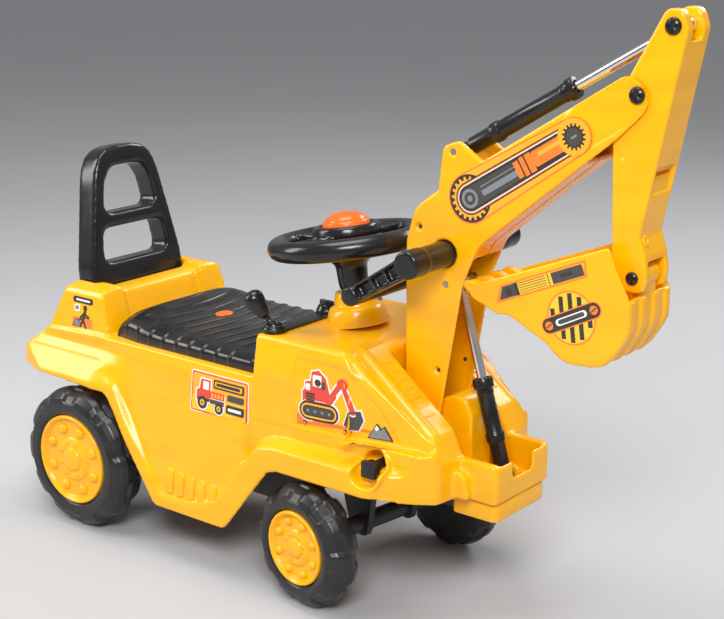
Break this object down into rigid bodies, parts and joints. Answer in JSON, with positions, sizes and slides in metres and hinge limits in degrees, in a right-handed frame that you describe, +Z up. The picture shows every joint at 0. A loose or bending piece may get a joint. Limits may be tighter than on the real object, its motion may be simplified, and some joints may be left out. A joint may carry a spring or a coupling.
{
  "type": "toy excavator",
  "caption": "Child's ride-on toy excavator: saddle seat with backrest, steered front wheels, and a hand-worked boom, stick and bucket on a front pivot.",
  "frame": {"origin": "middle of the bounding box in plan, at the height of the ground under the wheels", "axes": "+X forward, +Y to the rider's left, +Z up"},
  "size_m": [0.8124, 0.2794, 0.634],
  "materials": {
    "yellow": "satin yellow moulded plastic",
    "black": "black moulded plastic",
    "dark": "dark grey moulded plastic",
    "tyre": "hollow blow-moulded black plastic tyre",
    "orange": "orange plastic",
    "steel": "bright steel",
    "chrome": "mirror chrome"
  },
  "bodies": {
    "chassis": {"body_shell": "yellow", "lower_pan": "yellow", "undertray": "dark", "seat": "black", "seat_oval": "orange", "backrest": "black", "neck_collar": "yellow", "console_strip": "black", "lever_base": "black", "rear_axle": "steel", "rear_washer_left": "steel", "rear_washer_right": "steel", "boom_pivot_pin": "black", "boom_pivot_nut": "black", "boom_cylinder_foot_pin": "steel"},
    "rear_wheel_left": {"rear_tyre_left": "tyre", "rear_hub_cap_left": "yellow"},
    "rear_wheel_right": {"rear_tyre_right": "tyre", "rear_hub_cap_right": "yellow"},
    "bogie": {"steering_bogie": "dark", "front_axle": "steel", "front_washer_left": "steel", "front_washer_right": "steel"},
    "front_wheel_left": {"front_tyre_left": "tyre", "front_hub_cap_left": "yellow"},
    "front_wheel_right": {"front_tyre_right": "tyre", "front_hub_cap_right": "yellow"},
    "column": {"steering_wheel": "black", "steering_rod": "steel"},
    "horn": {"horn_button": "orange"},
    "gear_stick": {"gear_lever": "black"},
    "dash_control": {"dash_knob": "black"},
    "boom": {"boom_left": "yellow", "boom_right": "yellow", "elbow_pin": "black", "boom_cylinder_head_pin": "steel", "stick_cylinder_foot_pin": "steel"},
    "boom_cylinder": {"boom_cylinder_barrel": "black"},
    "boom_piston": {"boom_cylinder_rod": "chrome"},
    "handle": {"handle_frame": "black", "handle_crank": "steel"},
    "push_link": {"push_rod": "steel"},
    "stick_arm": {"stick": "yellow", "stick_lever_pin": "steel", "stick_top_pin": "black", "pin_spacer_left": "chrome", "pin_spacer_right": "chrome", "bucket_pin": "black"},
    "stick_cylinder": {"stick_cylinder_barrel": "black"},
    "stick_piston": {"stick_cylinder_rod": "chrome"},
    "digger_bucket": {"bucket": "yellow"}
  },
  "joints": [
    {"name": "steering_turn", "type": "hinge", "parent": "chassis", "child": "column", "pos_m": [0.02452, 0.0017, 0.285], "axis": [-0.1564, 0, 0.9877], "range_deg": [-17, 33]},
    {"name": "bogie_turn", "type": "hinge", "parent": "chassis", "child": "bogie", "pos_m": [0.04652, 0.0017, 0.1], "axis": [0, 0, 1], "range_deg": [-17.1, 33.1]},
    {"name": "rear_spin_left", "type": "hinge", "parent": "chassis", "child": "rear_wheel_left", "pos_m": [-0.29948, 0.1167, 0.085], "axis": [0, 1, 0], "continuous": true},
    {"name": "rear_spin_right", "type": "hinge", "parent": "chassis", "child": "rear_wheel_right", "pos_m": [-0.29948, -0.1133, 0.085], "axis": [0, 1, 0], "continuous": true},
    {"name": "front_spin_left", "type": "hinge", "parent": "bogie", "child": "front_wheel_left", "pos_m": [0.07795, 0.11039, 0.068], "axis": [0.1392, 0.9903, 0], "continuous": true},
    {"name": "front_spin_right", "type": "hinge", "parent": "bogie", "child": "front_wheel_right", "pos_m": [0.04677, -0.11143, 0.068], "axis": [0.1392, 0.9903, 0], "continuous": true},
    {"name": "horn_press", "type": "slide", "parent": "column", "child": "horn", "axis": [0.1564, 0, -0.9877], "range_m": [0, 0.003], "stiffness_N_per_m": 350},
    {"name": "gear_shift", "type": "hinge", "parent": "chassis", "child": "gear_stick", "pos_m": [-0.02348, -0.0803, 0.285], "axis": [0, 1, 0], "range_deg": [-4, 24]},
    {"name": "dash_turn", "type": "hinge", "parent": "chassis", "child": "dash_control", "pos_m": [-0.02348, 0.0067, 0.284], "axis": [0, 0, 1], "range_deg": [-40, 40]},
    {"name": "boom_lift", "type": "hinge", "parent": "chassis", "child": "boom", "pos_m": [0.13052, 0.0017, 0.172], "axis": [0, 1, 0], "range_deg": [0, 28]},
    {"name": "boom_cylinder_tilt", "type": "hinge", "parent": "chassis", "child": "boom_cylinder", "pos_m": [0.21652, 0.0017, 0.152], "axis": [0, 1, 0], "range_deg": [0, 23.7]},
    {"name": "boom_cylinder_stroke", "type": "slide", "parent": "boom_cylinder", "child": "boom_piston", "axis": [-0.2856, 0, 0.9584], "range_m": [-0.04048, 0]},
    {"name": "stick_swing", "type": "hinge", "parent": "boom", "child": "stick_arm", "pos_m": [0.36252, 0.0017, 0.557], "axis": [0, -1, 0], "range_deg": [0, 34]},
    {"name": "handle_turn", "type": "hinge", "parent": "boom", "child": "handle", "pos_m": [0.15652, 0.0017, 0.382], "axis": [0, 1, 0], "range_deg": [0, 9.1]},
    {"name": "push_stroke", "type": "slide", "parent": "boom", "child": "push_link", "axis": [0.8812, 0, 0.4728], "range_m": [0, 0.00692]},
    {"name": "stick_cylinder_tilt", "type": "hinge", "parent": "boom", "child": "stick_cylinder", "pos_m": [0.16452, 0.0017, 0.485], "axis": [0, 1, 0], "range_deg": [-6.57, 0]},
    {"name": "stick_cylinder_stroke", "type": "slide", "parent": "stick_cylinder", "child": "stick_piston", "axis": [0.8621, 0, 0.5067], "range_m": [-0.02886, 0]},
    {"name": "bucket_curl", "type": "hinge", "parent": "stick_arm", "child": "digger_bucket", "pos_m": [0.36452, 0.0017, 0.389], "axis": [0, -1, 0], "range_deg": [0, 80]}
  ],
  "couplings": [
    {"joint": "bogie_turn", "follows": "steering_turn", "ratio": 1},
    {"joint": "boom_cylinder_tilt", "follows": "boom_lift", "ratio": 0.84277},
    {"joint": "boom_cylinder_stroke", "follows": "boom_lift", "m_per_rad": -0.082426},
    {"joint": "handle_turn", "follows": "stick_swing", "ratio": 0.26471},
    {"joint": "push_stroke", "follows": "stick_swing", "m_per_rad": 0.011332},
    {"joint": "stick_cylinder_tilt", "follows": "stick_swing", "ratio": -0.1903},
    {"joint": "stick_cylinder_stroke", "follows": "stick_swing", "m_per_rad": -0.048302}
  ]
}
